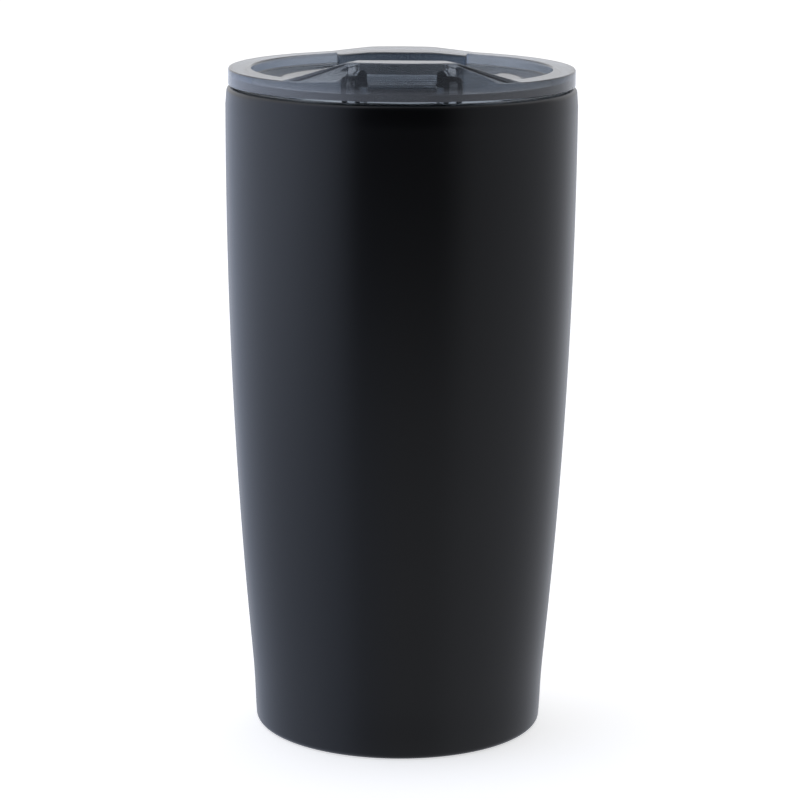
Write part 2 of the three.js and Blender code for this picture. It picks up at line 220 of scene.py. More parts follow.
def moulded_silicone(silicone):
    """Food-grade silicone, compression moulded. It looks milky, soft and slightly dusty."""
    material, output = new_material("moulded_silicone")
    tree = material.node_tree
    place = add_node(tree, "ShaderNodeTexCoord").outputs["Object"]
    grain = add_node(
        tree, "ShaderNodeTexNoise", {"Scale": 1 / (0.5 * MM), "Detail": 2.0}, {"Vector": place},
    )
    bump = add_node(
        tree, "ShaderNodeBump", {"Strength": 0.15, "Distance": 0.02 * MM}, {"Height": grain.outputs["Fac"]},
    )
    shader = add_node(
        tree, "ShaderNodeBsdfPrincipled",
        {
            "Base Color": silicone, "Roughness": 0.45, "IOR": 1.41, "Subsurface Weight": 0.3,
            "Subsurface Radius": (1.0, 1.0, 1.0), "Subsurface Scale": 1.0 * MM,
        },
        {"Normal": bump.outputs["Normal"]},
    )
    tree.links.new(shader.outputs["BSDF"], output.inputs["Surface"])
    return material


def steel(name, base, roughness, stretch, depth):
    """Stainless steel, metal with fine brush or draw lines. stretch says along which way the lines are
    long, as scales on X, Y and Z."""
    material, output = new_material(name)
    tree = material.node_tree
    place = add_node(tree, "ShaderNodeTexCoord").outputs["Object"]
    lay = add_node(tree, "ShaderNodeMapping", {"Scale": stretch}, {"Vector": place})
    # a brush line is about 0.2 mm wide, drawn at 0.4 mm so that it shows
    lines = add_node(
        tree, "ShaderNodeTexNoise", {"Scale": 1 / (0.4 * MM), "Detail": 3.0},
        {"Vector": lay.outputs["Vector"]},
    )
    rough = add_node(
        tree, "ShaderNodeMapRange", {"To Min": roughness * 0.8, "To Max": roughness * 1.25},
        {"Value": lines.outputs["Fac"]},
    )
    bump = add_node(
        tree, "ShaderNodeBump", {"Strength": depth, "Distance": 0.02 * MM}, {"Height": lines.outputs["Fac"]},
    )
    shader = add_node(
        tree, "ShaderNodeBsdfPrincipled", {"Base Color": base, "Metallic": 1.0},
        {"Roughness": rough.outputs["Result"], "Normal": bump.outputs["Normal"]},
    )
    tree.links.new(shader.outputs["BSDF"], output.inputs["Surface"])
    return material


def turned_steel(base):
    """Stainless steel disc, brushed while it turns, so that its lines are circles and light gathers in
    two fans."""
    material, output = new_material("circular_brushed_stainless")
    tree = material.node_tree
    place = add_node(tree, "ShaderNodeTexCoord").outputs["Object"]
    split = add_node(tree, "ShaderNodeSeparateXYZ", None, {"Vector": place})
    flat = add_node(
        tree, "ShaderNodeCombineXYZ", None, {"X": split.outputs["X"], "Y": split.outputs["Y"]},
    )
    radius = add_node(tree, "ShaderNodeVectorMath", {"operation": "LENGTH"}, {0: flat.outputs["Vector"]})
    spread = add_node(tree, "ShaderNodeCombineXYZ", None, {"X": radius.outputs["Value"]})
    lines = add_node(
        tree, "ShaderNodeTexNoise", {"Scale": 1 / (0.35 * MM), "Detail": 4.0},
        {"Vector": spread.outputs["Vector"]},
    )
    rough = add_node(
        tree, "ShaderNodeMapRange", {"To Min": 0.22, "To Max": 0.4}, {"Value": lines.outputs["Fac"]},
    )
    bump = add_node(
        tree, "ShaderNodeBump", {"Strength": 0.35, "Distance": 0.03 * MM}, {"Height": lines.outputs["Fac"]},
    )
    shader = add_node(
        tree, "ShaderNodeBsdfPrincipled", {"Base Color": base, "Metallic": 1.0, "Anisotropic": 0.5},
        {"Roughness": rough.outputs["Result"], "Normal": bump.outputs["Normal"]},
    )
    tree.links.new(shader.outputs["BSDF"], output.inputs["Surface"])
    return material


def mottled(name, dark, light, roughness, metallic, grain):
    """A small hidden part with a mottled surface: foil, pressed tablet or fused bead."""
    material, output = new_material(name)
    tree = material.node_tree
    place = add_node(tree, "ShaderNodeTexCoord").outputs["Object"]
    noise = add_node(tree, "ShaderNodeTexNoise", {"Scale": 1 / grain, "Detail": 3.0}, {"Vector": place})
    mix = add_node(
        tree, "ShaderNodeMix", {"data_type": "RGBA", 6: linear(dark), 7: linear(light)},
        {0: noise.outputs["Fac"]},
    )
    bump = add_node(
        tree, "ShaderNodeBump", {"Strength": 0.3, "Distance": 0.05 * MM}, {"Height": noise.outputs["Fac"]},
    )
    shader = add_node(
        tree, "ShaderNodeBsdfPrincipled", {"Metallic": metallic, "Roughness": roughness},
        {"Base Color": mix.outputs[2], "Normal": bump.outputs["Normal"]},
    )
    tree.links.new(shader.outputs["BSDF"], output.inputs["Surface"])
    return material


# ---------------------------------------------------------------- mesh helpers

def grid_object(name, rows, closed_profile=True, caps=False):
    """A mesh from rows of points: rows[i, j] is profile point i at column j. Columns close on
    themselves; the profile closes on itself too, or ends at poles, or in flat caps."""
    count, columns = rows.shape[:2]
    last = count if closed_profile else count - 1
    i, j = np.meshgrid(np.arange(last), np.arange(columns), indexing="ij")
    down, right = (i + 1) % count, (j + 1) % columns
    corners = (i * columns + j, i * columns + right, down * columns + right, down * columns + j)
    quads = np.stack(corners, axis=-1)
    faces = quads.reshape(-1, 4).tolist()
    if caps:
        faces.append(np.arange(columns)[::-1].tolist())
        faces.append(((count - 1) * columns + np.arange(columns)).tolist())
    mesh = bpy.data.meshes.new(name)
    mesh.from_pydata(rows.reshape(-1, 3), [], faces)
    work = bmesh.new()
    work.from_mesh(mesh)
    bmesh.ops.remove_doubles(work, verts=work.verts, dist=1e-7)
    bmesh.ops.dissolve_degenerate(work, dist=1e-8, edges=work.edges)
    if work.calc_volume(signed=True) < 0:
        bmesh.ops.reverse_faces(work, faces=work.faces)
    work.to_mesh(mesh)
    work.free()
    mesh.shade_smooth()
    mesh.set_sharp_from_angle(angle=SHARP_ANGLE)
    made = bpy.data.objects.new(name, mesh)
    bpy.context.collection.objects.link(made)
    return made


def arc(radius, height, size, start, end, steps=8):
    """Radii and heights on a round corner, from one angle to another in degrees."""
    angle = np.radians(np.linspace(start, end, steps + 1))
    return np.stack([radius + size * np.cos(angle), height + size * np.sin(angle)], axis=1)


def revolve(profile, columns=256):
    """A profile of radii and heights turned about Z: x is radius times the sine of the turn, y is minus
    radius times its cosine."""
    turn = np.linspace(0, 2 * np.pi, columns, endpoint=False)
    radius, height = profile[:, :1], profile[:, 1:]
    return np.stack([radius * np.sin(turn), -radius * np.cos(turn), height + 0 * turn], axis=-1)


def cup_radius(z, sizes):
    """Outside radius of the cup at a height in metres: the shoulder's radius, less a taper that grows
    with a power of the depth below the shoulder, plus a flare that dies away above the foot."""
    taper_power, flare_height = 2.07, 9.4 * MM
    depth = np.clip((sizes.shoulder_height - z) / sizes.shoulder_height, 0, 1)
    flare = sizes.foot_flare * np.exp(-((z / flare_height) ** 2))
    return sizes.shoulder_radius - sizes.taper * depth**taper_power + flare


def cup_wall(inset, start, end, steps, sizes):
    """Profile points that follow the cup's outside at a distance inside it."""
    z = np.linspace(start, end, steps + 1)
    return np.stack([cup_radius(z, sizes) - inset, z], axis=1)


def cut_out(target, cutter):
    """Cuts a closed shape out of a piece with a Boolean, and removes the cutter."""
    modifier = target.modifiers.new("cut", "BOOLEAN")
    modifier.operation, modifier.solver, modifier.object = "DIFFERENCE", "EXACT", cutter
    evaluated = target.evaluated_get(bpy.context.evaluated_depsgraph_get())
    mesh = bpy.data.meshes.new_from_object(evaluated)
    target.modifiers.clear()
    old, target.data = target.data, mesh
    bpy.data.meshes.remove(old)
    bpy.data.objects.remove(cutter)
    mesh.shade_smooth()
    mesh.set_sharp_from_angle(angle=SHARP_ANGLE)


def dress(piece, material, body, slot, *nodes):
    """Gives a piece its material and body, and hides the frame nodes that it stands for. The slot is not
    used.
    """
    piece.data.materials.clear()
    piece.data.materials.append(material)
    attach(piece, body)
    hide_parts(*nodes)


# ---------------------------------------------------------------- the cup

class MUG_OT_outer_shell(bpy.types.Operator):
    """Makes the painted outer shell"""

    bl_idname = "mug.outer_shell"
    bl_label = "Outer Shell"

    def execute(self, context):
        sizes, colours = context.scene.mug_sizes, context.scene.mug_colours
        wall, foot, lip = 0.6 * MM, 1.6 * MM, 1.3 * MM
        top = sizes.lip_height
        inner_edge = cup_radius(160 * MM, sizes) - 2.4 * MM
        lip_centre = 43.84 * MM - lip
        foot_centre = cup_radius(foot, sizes) - foot
        profile = np.concatenate([
            arc(foot_centre, foot, foot, -90, 0, 10),
            cup_wall(0, 1.9 * MM, 160 * MM, 150, sizes),
            arc(lip_centre, top - lip, lip, 4, 90, 10),
            [[inner_edge, top], [inner_edge, top - wall], [lip_centre, top - wall]],
            cup_wall(wall, 160 * MM, 4 * MM, 40, sizes),
            arc(foot_centre, foot, foot - wall, 0, -90, 5),
            [[33.4 * MM, wall], [33.4 * MM, 0.0]],
        ])
        piece = grid_object("painted_shell", revolve(profile, 256))
        dress(piece, satin_powder_coat(colours.paint), "cup", "black_paint", "outer_shell")
        return {"FINISHED"}


class MUG_OT_liner(bpy.types.Operator):
    """Makes the steel liner with its flared mouth, and its welded bottom"""

    bl_idname = "mug.liner"
    bl_label = "Liner"

    def execute(self, context):
        sizes, colours = context.scene.mug_sizes, context.scene.mug_colours
        stack, wall = 4.7 * MM, 0.5 * MM
        weld, floor, round_size = 19 * MM, 12 * MM, 5 * MM
        top = sizes.lip_height
        mouth = cup_radius(160 * MM, sizes) - stack
        edge = cup_radius(160 * MM, sizes) - 2.7 * MM
        profile = np.concatenate([
            cup_wall(stack - wall, weld, 160 * MM, 40, sizes),
            [[mouth + 1.9 * MM, top - 0.9 * MM], [edge, top - 0.6 * MM], [edge, top]],
            arc(mouth + 1.4 * MM, top - 1.4 * MM, 1.4 * MM, 90, 180, 8),
            cup_wall(stack, 162 * MM, weld, 80, sizes),
        ])
        material = steel("electropolished_stainless", colours.liner, 0.42, (1.0, 1.0, 0.05), 0.12)
        tube = grid_object("liner_tube", revolve(profile, 192))
        dress(tube, material, "cup", "liner_steel", "inner_liner")
        joint = weld - 0.3 * MM
        inside = cup_radius(joint, sizes) - stack
        centre = inside - round_size
        dish = np.concatenate([
            [[0.0, floor - wall]],
            arc(centre, floor + round_size, round_size + wall, -90, 0, 10),
            [[inside + wall, joint], [inside, joint]],
            arc(centre, floor + round_size, round_size, 0, -90, 12),
            [[8 * MM, floor], [7 * MM, floor + 0.15 * MM], [0.0, floor + 0.2 * MM]],
        ])
        bottom = grid_object("liner_dish", revolve(dish, 192), closed_profile=False)
        dress(bottom, material, "cup", "liner_steel", "liner_bottom")
        return {"FINISHED"}


class MUG_OT_base(bpy.types.Operator):
    """Makes the brushed discs under the foot"""

    bl_idname = "mug.base"
    bl_label = "Base Discs"

    def execute(self, context):
        colours = context.scene.mug_colours
        material = turned_steel(colours.base)
        rim, wall, height, low = 33.1 * MM, 0.8 * MM, 4.0 * MM, 0.3 * MM
        hole, dimple, rise = 1.0 * MM, 5.0 * MM, 1.6 * MM
        disc = np.concatenate([
            [[hole, height - wall + rise], [dimple - 2 * MM, height - wall + rise], [dimple, height - wall]],
            arc(rim - wall - 1 * MM, height - wall - 1 * MM, 1 * MM, 90, 0, 6),
            [[rim - wall, low], [rim, low]],
            arc(rim - 1.5 * MM, height - 1.5 * MM, 1.5 * MM, 0, 90, 6),
            [[dimple + 0.6 * MM, height], [dimple - 1.4 * MM, height + rise], [hole, height + rise]],
        ])
        vacuum = grid_object("vacuum_dish", revolve(disc, 160))
        dress(vacuum, material, "cup", "base_steel", "vacuum_disc")
        edge, skin, bottom = 31.9 * MM, 0.6 * MM, 1.3 * MM
        step = 0.5 * MM
        cover = np.concatenate([
            [[0.0, bottom], [edge - 3.1 * MM, bottom]],
            arc(edge - 2.6 * MM, bottom - 0.25 * MM, 0.25 * MM, 120, 60, 3),
            [[edge - 2.0 * MM, bottom - step]],
            arc(edge - 0.3 * MM, bottom - step + 0.3 * MM, 0.3 * MM, -90, 90, 8),
            [[edge - 2.2 * MM, bottom - step + skin], [edge - 3 * MM, bottom + skin], [0.0, bottom + skin]],
        ])
        plate = grid_object("base_plate", revolve(cover, 160), closed_profile=False)
        dress(plate, material, "cup", "base_steel", "base_cover")
        return {"FINISHED"}


class MUG_OT_hidden_parts(bpy.types.Operator):
    """Gives the parts inside the vacuum space their finishes"""

    bl_idname = "mug.hidden_parts"
    bl_label = "Hidden Parts"

    def execute(self, context):
        finishes = {
            # thin aluminium foil, wrapped by hand, so it is bright and crumpled
            "liner_foil": mottled("crumpled_aluminium_foil", "#c4c6c8", "#eceded", 0.22, 1.0, 3 * MM),
            # solder glass, fused in the furnace, dark and glossy
            "evacuation_plug": mottled("fused_solder_glass", "#17181a", "#34363a", 0.12, 0.0, 1 * MM),
            # zirconium powder pressed to a tablet, dull and dark
            "getter": mottled("pressed_getter_powder", "#3c3d40", "#5c5d60", 0.75, 0.6, 0.3 * MM),
            # spring steel strip, cut and bent
            "getter_clip": mottled("bent_steel_strip", "#8c8d8e", "#b2b3b4", 0.3, 1.0, 1 * MM),
        }
        for node, material in finishes.items():
            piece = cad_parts[node]
            for material_slot in piece.material_slots:
                material_slot.material = material
        return {"FINISHED"}


# ---------------------------------------------------------------- the lid

def well_outline(side_count=360):
    """Inner edge of the lid's ring and the matching outer directions, once round from the front. The
    edge is a circle, cut straight behind the drinking lip and again in front of the rear pad, whose
    sides run straight back. Corners are rounded by averaging the path over a short length."""
    radius, front, pad_front, pad_side = 37.6 * MM, 36 * MM, 27 * MM, 16.6 * MM
    front_turn = math.acos(front / radius)
    pad_turn = math.pi - math.asin(pad_side / radius)
    pad_back = -radius * math.cos(pad_turn)
    turn = np.linspace(0, front_turn, 40, endpoint=False)
    chord = np.stack([front * np.tan(turn), np.full_like(turn, -front)], axis=1)
    bend = np.linspace(front_turn, pad_turn, side_count, endpoint=False)
    circle = radius * np.stack([np.sin(bend), -np.cos(bend)], axis=1)
    back = np.linspace(0, 1, 30, endpoint=False)[:, None]
    side = (1 - back) * [pad_side, pad_back] + back * [pad_side, pad_front]
    across = np.linspace(0, 1, 90)[:, None]
    face = (1 - across) * [pad_side, pad_front] + across * [0.0, pad_front]
    half = np.concatenate([chord, circle, side, face])
    corner_turn, last_turn = pad_turn + math.radians(2.5), math.pi
    turns = np.concatenate([
        turn, bend, pad_turn + (corner_turn - pad_turn) * back[:, 0],
        corner_turn + (last_turn - corner_turn) * across[:, 0],
    ])
    whole = np.concatenate([half, half[-2:0:-1] * [-1, 1]])
    whole_turns = np.concatenate([turns, 2 * math.pi - turns[-2:0:-1]])
    steps = np.linalg.norm(np.roll(whole, -1, axis=0) - whole, axis=1)
    along = np.concatenate([[0], np.cumsum(steps)])
    closed = np.concatenate([whole, whole[:1]])
    reach, samples = 1.3 * MM, 9
    rounded = sum(
        np.stack([np.interp((along[:-1] + shift) % along[-1], along, closed[:, k]) for k in (0, 1)], axis=1)
        for shift in np.linspace(-reach, reach, samples)
    ) / samples
    return rounded, whole_turns


def clamped(value, soften=0.035):
    """A value held between 0 and 1, with softened creases at both ends."""
    return (1 + np.sqrt(value**2 + soften**2) - np.sqrt((value - 1) ** 2 + soften**2)) / 2


def lid_top(x, y, sizes):
    """Height of the lid's top surface. In front it is the ring's height plus a hump: level in the
    middle, straight ramps at its sides, narrower towards the well. Behind it is a low crown with ramps
    of its own."""
    half_width, foot_half_width = 13.3 * MM, 29 * MM
    crown_half_width, crown_foot_half_width, crown_rise = 8 * MM, 19 * MM, 1.0 * MM
    inward = sizes.lid_radius / np.maximum(np.hypot(x, y), 0.5 * sizes.lid_radius)
    across = np.abs(x) * inward**1.6
    hump = clamped((foot_half_width - across) / (foot_half_width - half_width))
    crown = clamped((crown_foot_half_width - np.abs(x)) / (crown_foot_half_width - crown_half_width), 0.1)
    return sizes.ring_top + np.where(y < 0, sizes.hump_rise * hump, crown_rise * crown)


def lid_rows(sizes):
    """The lid body as a closed profile carried round the well's outline. Each row is one step of the
    profile: up the well's wall, over the ring, down the outside, in along the bevel and the flat
    underside, down the skirt and up inside it."""
    inner, turns = well_outline()
    way = np.stack([np.sin(turns), -np.cos(turns)], axis=1)
    outer_radius = sizes.lid_radius
    outer = outer_radius * way
    across = outer - inner
    across /= np.linalg.norm(across, axis=1, keepdims=True)
    floor, bottom = sizes.well_floor, sizes.lip_height + 0.3 * MM
    rows = []

    def top_of(points):
        return lid_top(points[:, 0], points[:, 1], sizes)

    def add(points, heights):
        rows.append(np.column_stack([points, np.broadcast_to(heights, len(points))]))

    def add_round(radius, heights):
        add(radius * way, heights)

    # fillet at the foot of the well's wall
    foot = 0.5 * MM
    for angle in np.radians(np.linspace(0, 90, 5)):
        add(inner - foot * (1 - np.sin(angle)) * across, floor + foot * (1 - np.cos(angle)))
    # the edge over the well is rounder behind than in front
    edge = (0.35 + 0.5 * clamped(inner[:, 1] / (15 * MM), 0.2)) * MM
    wall_top = top_of(inner) - edge
    for share in (0.1, 0.5, 0.9):
        add(inner, floor + foot + share * (wall_top - floor - foot))
    for angle in np.radians(np.linspace(0, 90, 6)):
        points = inner + (edge * (1 - np.cos(angle)))[:, None] * across
        add(points, top_of(points) - edge * (1 - np.sin(angle)))
    shoulder = 0.35 * MM
    start, end = inner + edge[:, None] * across, (outer_radius - shoulder) * way
    for share in (0.02, 0.1, 0.25, 0.4, 0.55, 0.7, 0.85, 0.97):
        points = start + share * (end - start)
        add(points, top_of(points))
    for angle in np.radians(np.linspace(0, 90, 9)):
        radius = outer_radius - shoulder * (1 - np.sin(angle))
        add_round(radius, top_of(radius * way) - shoulder * (1 - np.cos(angle)))
    outside_top = top_of(outer) - shoulder
    # the wall stops short of the cup's lip in a bevel, which is steepest in front
    edge_rise = (0.25 + 0.35 * clamped(-1.5 * outer[:, 1] / outer_radius - 0.5)) * MM
    edge_width = 1.05 * MM
    for share in (0.04, 0.25, 0.5, 0.75, 0.96):
        add_round(outer_radius, outside_top + share * (bottom + edge_rise - outside_top))
    for share in (0.0, 0.06, 0.5, 0.94, 1.0):
        add_round(outer_radius - edge_width * share, bottom + edge_rise * (1 - share))
    # flat underside, resting over the cup's lip
    for radius in (42.2 * MM, 41 * MM, 40 * MM, 38.9 * MM):
        add_round(radius, bottom)
    # outside of the skirt with the gasket's groove, its rounded foot, and its inside
    skirt = [
        (38.7, 164.85), (38.6, 164.7), (38.6, 160.7), (38.5, 160.6),
        (37.3, 160.6), (37.3, 156.4), (38.5, 156.4), (38.6, 156.3), (38.6, 154.0), (38.45, 153.3),
        (38.0, 152.75), (37.6, 152.6), (37.0, 152.6), (36.7, 152.8), (36.6, 153.2), (36.6, 158.0),
        (36.6, 163.4), (36.35, 164.2), (35.8, 164.55), (35.2, 164.6),
    ]
    for radius, height in skirt:
        add_round(radius * MM, height * MM)
    return np.stack(rows)


def rounded_prism(name, half_width, front, back, corner, low, high):
    """An upright prism whose outline is a rectangle with round corners, given by its corner arcs in turn."""
    middle, half_depth = (front + back) / 2, (back - front) / 2
    angle = np.linspace(0, 2 * np.pi, 64, endpoint=False) + np.pi / 64
    x = (half_width - corner) * np.sign(np.cos(angle)) + corner * np.cos(angle)
    y = middle + (half_depth - corner) * np.sign(np.sin(angle)) + corner * np.sin(angle)
    outline = np.stack([x, y], axis=1)
    rows = np.stack([np.column_stack([outline, np.full(len(x), z)]) for z in (low, high)])
    return grid_object(name, rows, closed_profile=False, caps=True)


class MUG_OT_lid_body(bpy.types.Operator):
    """Makes the smoke-grey lid body with its drinking lip, well, skirt, sip hole and vent"""

    bl_idname = "mug.lid_body"
    bl_label = "Lid Body"

    def execute(self, context):
        sizes = context.scene.mug_sizes
        piece = grid_object("lid_moulding", lid_rows(sizes), closed_profile=False, caps=True)
        low, high = sizes.well_floor - 3 * MM, sizes.well_floor + 1 * MM
        # half width, front, back and corner radius
        sip_hole = (6.4 * MM, -34.4 * MM, -26.4 * MM, 1.5 * MM)
        vent_hole = (1.3 * MM, 7.2 * MM, 9.8 * MM, 1.29 * MM)
        cut_out(piece, rounded_prism("sip_cutter", *sip_hole, low, high))
        cut_out(piece, rounded_prism("vent_cutter", *vent_hole, low, high))
        material = worn_outside(smoke_copolyester("smoke_copolyester", 0.03, 215.0), sizes)
        dress(piece, material, "lid", "smoke_plastic", "lid_body")
        return {"FINISHED"}


class MUG_OT_gasket(bpy.types.Operator):
    """Makes the silicone ring with two sealing fins"""

    bl_idname = "mug.gasket"
    bl_label = "Gasket"

    def execute(self, context):
        colours = context.scene.mug_colours
        inner, body, fin, low, high = 37.6 * MM, 38.4 * MM, 39.09 * MM, 156.7 * MM, 160.3 * MM
        tip = 0.2 * MM
        profile = np.concatenate([
            [[inner, low], [body - 0.1 * MM, low], [body, low + 0.1 * MM], [body, low + 0.5 * MM]],
            arc(fin - tip, low + 1.1 * MM, tip, -80, 80, 6),
            [[body, low + 1.5 * MM], [body, high - 1.3 * MM]],
            arc(fin - tip, high - 0.7 * MM, tip, -80, 80, 6),
            [[body, high - 0.2 * MM], [body - 0.1 * MM, high], [inner, high]],
        ])
        piece = grid_object("gasket_ring", revolve(profile, 192))
        dress(piece, moulded_silicone(colours.silicone), "lid", "silicone", "lid_gasket")
        return {"FINISHED"}


def track_rows(columns_straight=60, columns_round=48):
    """The slide's guide: a hooked section carried along a U-shaped path, back on the left, round the
    rear and forward on the right. Heights above the tongue slot follow a slope that falls from front to
    back."""
    front, centre = -35.7 * MM, 12.5 * MM
    straight = np.linspace(front, centre, columns_straight, endpoint=False)
    bend = np.linspace(0, np.pi, columns_round)
    side = np.concatenate([-np.ones(columns_straight), -np.cos(bend), np.ones(columns_straight)])
    push = np.concatenate([np.zeros(columns_straight), np.sin(bend), np.zeros(columns_straight)])
    base = np.concatenate([straight, np.full(columns_round, centre), straight[::-1]])
    slope_end, front_top, rear_top = -6 * MM, 171.0 * MM, 168.5 * MM
    low, slot_top, lip = SLIDE_FLOOR, 168.4 * MM, 1.4 * MM
    # behind the slide's travel the guide sinks a little further, over a short length
    sink_start, sink_length, top_sink, slot_sink = 5 * MM, 8 * MM, 0.6 * MM, 1.1 * MM
    # across the section: distance from the middle, then height above the bottom (0), the slot (1) or the
    # top (2), or share of the lip (3)
    section = [
        (12.6, 0, 0.0), (13.7, 0, 0.0), (13.8, 0, 0.1), (13.8, 2, -1.3), (13.7, 2, -0.8), (13.4, 2, -0.4),
        (13.0, 2, -0.15), (12.5, 2, -0.03), (12.0, 2, 0.0), (10.5, 2, 0.0), (10.15, 3, 0.1), (9.95, 3, 0.35),
        (9.7, 3, 0.7), (9.3, 3, 0.93), (8.8, 3, 1.0), (8.35, 3, 0.9), (8.0, 3, 0.6), (7.82, 3, 0.3),
        (7.8, 3, 0.1), (7.8, 1, 0.15), (7.95, 1, 0.0), (9.4, 1, 0.0), (9.5, 1, -0.1), (9.5, 0, 0.0),
        (10.6, 0, 0.0), (10.7, 0, 0.1), (10.7, 2, -1.6), (10.8, 2, -1.3), (11.1, 2, -1.2), (12.0, 2, -1.2),
        (12.4, 2, -1.3), (12.6, 2, -1.7), (12.6, 0, 0.1),
    ]
    rows = []
    for across, level, above in section:
        x, y = across * MM * side, base + across * MM * push
        fall = np.clip((y - front) / (slope_end - front), 0, 1)
        past = np.clip((y - sink_start) / sink_length, 0, 1)
        sink = past**2 * (3 - 2 * past)
        top = front_top + (rear_top - front_top) * fall - top_sink * sink
        rise = lip * (1 - 0.75 * fall) if level == 3 else MM
        height = (np.full_like(y, low), slot_top - slot_sink * sink, top, top)[level]
        if level > 1:
            height = np.maximum(height + above * rise, low + 0.2 * MM)
        else:
            height = height + above * rise
        rows.append(np.stack([x, y, height], axis=1))
    return np.stack(rows, axis=1)


class MUG_OT_track(bpy.types.Operator):
    """Makes the hooked guide that the slide runs in"""

    bl_idname = "mug.track"
    bl_label = "Slide Track"

    def execute(self, context):
        piece = grid_object("guide_track", track_rows(), closed_profile=False, caps=True)
        material = smoke_copolyester("frosted_copolyester_track", 0.08, 50.0, 0.93)
        dress(piece, material, "lid", "smoke_plastic", "slide_track")
        return {"FINISHED"}


def dense(points, step):
    """The same closed outline with extra points, so that no edge is longer than a step."""
    points = np.asarray(points)
    closed = np.concatenate([points, points[:1]])
    parts = []
    for a, b in zip(closed[:-1], closed[1:]):
        count = max(1, math.ceil(np.linalg.norm(b - a) / step))
        parts.append(a + (b - a) * (np.arange(count) / count)[:, None])
    return np.concatenate(parts)


def rounded_outline(points, reach=0.2 * MM, step=0.1 * MM):
    """A closed outline with its corners rounded, by averaging it over a short length of its path."""
    path = dense(points, step)
    steps = max(1, round(reach / step))
    return sum(np.roll(path, shift, axis=0) for shift in range(-steps, steps + 1)) / (2 * steps + 1)


def slide_outline(low):
    """The slide's side view: four cross ribs, then a ramp up to the thumb grip."""
    plate_top, grip_top = low + 2.3 * MM, low + 4.5 * MM
    front, back, grip_front = -35.4 * MM, -9.4 * MM, -15.4 * MM
    rib_count, rib_pitch = 4, 3.9 * MM
    outline = [
        (front, low), (back, low), (back, grip_top), (grip_front + 2.4 * MM, grip_top),
        (grip_front, plate_top),
    ]
    for i in range(rib_count):
        y = grip_front - rib_pitch * (i + 0.5)
        outline += [
            (y, plate_top), (y - 0.4 * MM, plate_top + 0.5 * MM),
            (y - 1.0 * MM, plate_top + 0.5 * MM), (y - 1.4 * MM, plate_top),
        ]
    outline += [(front + 0.6 * MM, plate_top), (front, plate_top - 0.6 * MM)]
    return rounded_outline(outline)


def slide_rows(low):
    """The side view carried across along X. Out to the block's sides it keeps its full height; beyond
    them only the tongue is left, so heights above the tongue shrink to it by a share. The seal's pocket
    is raised into its foot."""
    outline, tongue_top = slide_outline(low), low + 1.5 * MM
    above = np.maximum(outline[:, 1] - tongue_top, 0)
    base = outline[:, 1] - above
    pocket_front, pocket_back, pocket_depth, pocket_half_width = -35.2 * MM, -25.1 * MM, 1.3 * MM, 7.21
    y = outline[:, 0]
    pocket = (outline[:, 1] < low + 0.02 * MM) & (y > pocket_front) & (y < pocket_back)
    # distance from the middle, share of the height above the tongue, and trim of the tongue's edge
    steps = [
        (9.2, 0.0, 0.2), (9.14, 0.0, 0.08), (9.0, 0.0, 0.0), (7.42, 0.0, 0.0), (7.4, 0.06, 0.0),
        (7.39, 0.85, 0.0), (7.33, 0.95, 0.0), (7.22, 0.98, 0.0), (7.2, 0.99, 0.0), (7.0, 1.0, 0.0),
        (3.0, 1.0, 0.0),
    ]
    steps = [(-x, share, trim) for x, share, trim in steps] + steps[::-1]
    rows = []
    for x, share, trim in steps:
        height = np.clip(base, low + trim * MM, tongue_top - trim * MM) + share * above
        if abs(x) < pocket_half_width:
            height = np.where(pocket, low + pocket_depth, height)
        rows.append(np.column_stack([np.full(len(outline), x * MM), y, height]))
    return np.stack(rows)


class MUG_OT_slide(bpy.types.Operator):
    """Makes the slide with its cross ribs, thumb grip and side tongues"""

    bl_idname = "mug.slide"
    bl_label = "Slide"

    def execute(self, context):
        piece = grid_object("slide_moulding", slide_rows(SLIDE_FLOOR), closed_profile=False, caps=True)
        material = smoke_copolyester("frosted_copolyester_slide", 0.08, 90.0, 0.92)
        dress(piece, material, "slide", "smoke_plastic", "slide_plate")
        return {"FINISHED"}


class MUG_OT_slide_seal(bpy.types.Operator):
    """Makes the silicone pad under the slide"""

    bl_idname = "mug.slide_seal"
    bl_label = "Slide Seal"

    def execute(self, context):
        colours = context.scene.mug_colours
        # half width, front, back and corner radius
        outline = (6.9 * MM, -34.9 * MM, -25.4 * MM, 0.8 * MM)
        seal = rounded_prism("seal_pad", *outline, SLIDE_FLOOR, 167.7 * MM)
        dress(seal, moulded_silicone(colours.silicone), "slide", "silicone", "slide_seal")
        return {"FINISHED"}


# ---------------------------------------------------------------- the stage

CAMERA_SIDE = 0.08 * MM
CAMERA_DISTANCE = 742.4 * MM
CAMERA_HEIGHT = 248.1 * MM
# degrees
CAMERA_PITCH = 12.458
CAMERA_ROLL = 0.40
# lens and sensor in the camera's own millimetres
CAMERA_LENS = 133.794
CAMERA_SENSOR = 36.0

# how bright the studio is around the horizon: degrees from the front, left negative, and level
HORIZON = (
    (-180, 0.85), (-157, 0.92), (-147, 0.90), (-134, 0.93), (-121, 1.0), (-89, 1.08), (-74, 1.02),
    (-60, 0.80), (-47, 0.60), (-37, 0.32), (-28, 0.0), (28, 0.0), (36, 0.12), (47, 0.27), (74, 0.38),
    (106, 0.44), (128, 0.56), (147, 0.85), (180, 0.85),
)


